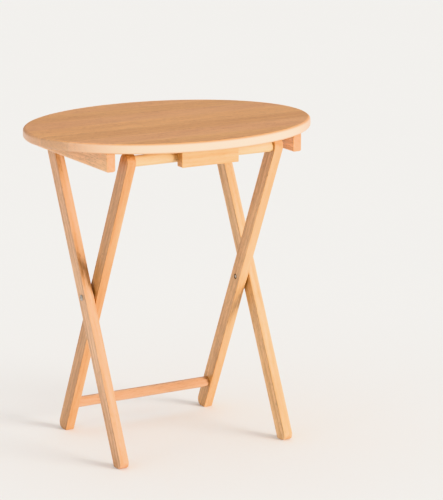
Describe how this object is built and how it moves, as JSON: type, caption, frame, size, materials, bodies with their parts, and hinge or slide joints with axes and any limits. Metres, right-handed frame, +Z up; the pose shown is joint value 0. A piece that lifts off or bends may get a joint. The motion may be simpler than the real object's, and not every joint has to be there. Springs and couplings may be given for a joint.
{
  "type": "folding tray table",
  "caption": "Folding wooden tray table: an oval edge-glued top on two cleats over crossed legs that scissor shut, with dowel rails and a latch block.",
  "frame": {"origin": "on the floor, under the centre of the open table's bounding box", "axes": "+X along the long side of the top and along both dowels, -Y to the front where the latch block and the outer legs' feet are, +Z up"},
  "size_m": [0.608, 0.4658, 0.66],
  "materials": {
    "top_wood": "satin clear-finished light hardwood",
    "frame_wood": "satin clear-finished light hardwood",
    "dowel_wood": "satin clear-finished light hardwood",
    "zinc_steel": "dull zinc plate",
    "bronzed_steel": "dark bronzed steel",
    "nylon": "natural nylon"
  },
  "bodies": {
    "outer_legs": {"outer_leg_left": "frame_wood", "outer_leg_right": "frame_wood", "cross_bolt_left": "zinc_steel", "cross_bolt_right": "zinc_steel", "cross_washer_left": "nylon", "cross_washer_right": "nylon", "cross_nut_left": "bronzed_steel", "cross_nut_right": "bronzed_steel"},
    "inner_frame": {"inner_leg_left": "frame_wood", "inner_leg_right": "frame_wood", "top_dowel": "dowel_wood", "foot_dowel": "dowel_wood", "top_dowel_brad_left": "zinc_steel", "top_dowel_brad_right": "zinc_steel", "foot_dowel_brad_left": "zinc_steel", "foot_dowel_brad_right": "zinc_steel"},
    "top": {"stave_1": "top_wood", "stave_2": "top_wood", "stave_3": "top_wood", "stave_4": "top_wood", "stave_5": "top_wood", "stave_6": "top_wood", "stave_7": "top_wood", "cleat_left": "frame_wood", "cleat_right": "frame_wood", "latch_block": "frame_wood", "cleat_screw_1": "zinc_steel", "cleat_screw_2": "zinc_steel", "cleat_screw_3": "zinc_steel", "cleat_screw_4": "zinc_steel", "cleat_screw_5": "zinc_steel", "cleat_screw_6": "zinc_steel", "latch_screw_1": "zinc_steel", "latch_screw_2": "zinc_steel", "top_bolt_left": "zinc_steel", "top_bolt_right": "zinc_steel", "top_washer_left": "zinc_steel", "top_washer_right": "zinc_steel", "top_nut_left": "bronzed_steel", "top_nut_right": "bronzed_steel"}
  },
  "joints": [
    {"name": "top_swing", "type": "hinge", "parent": "outer_legs", "child": "top", "pos_m": [0, 0.1406, 0.617], "axis": [-1, 0, 0], "range_deg": [0, 115.18]},
    {"name": "leg_fold", "type": "hinge", "parent": "outer_legs", "child": "inner_frame", "pos_m": [0, 0, 0.318], "axis": [-1, 0, 0], "range_deg": [0, 50.37]}
  ],
  "couplings": [
    {"joint": "leg_fold", "follows": "top_swing", "ratio": 0.4372}
  ]
}
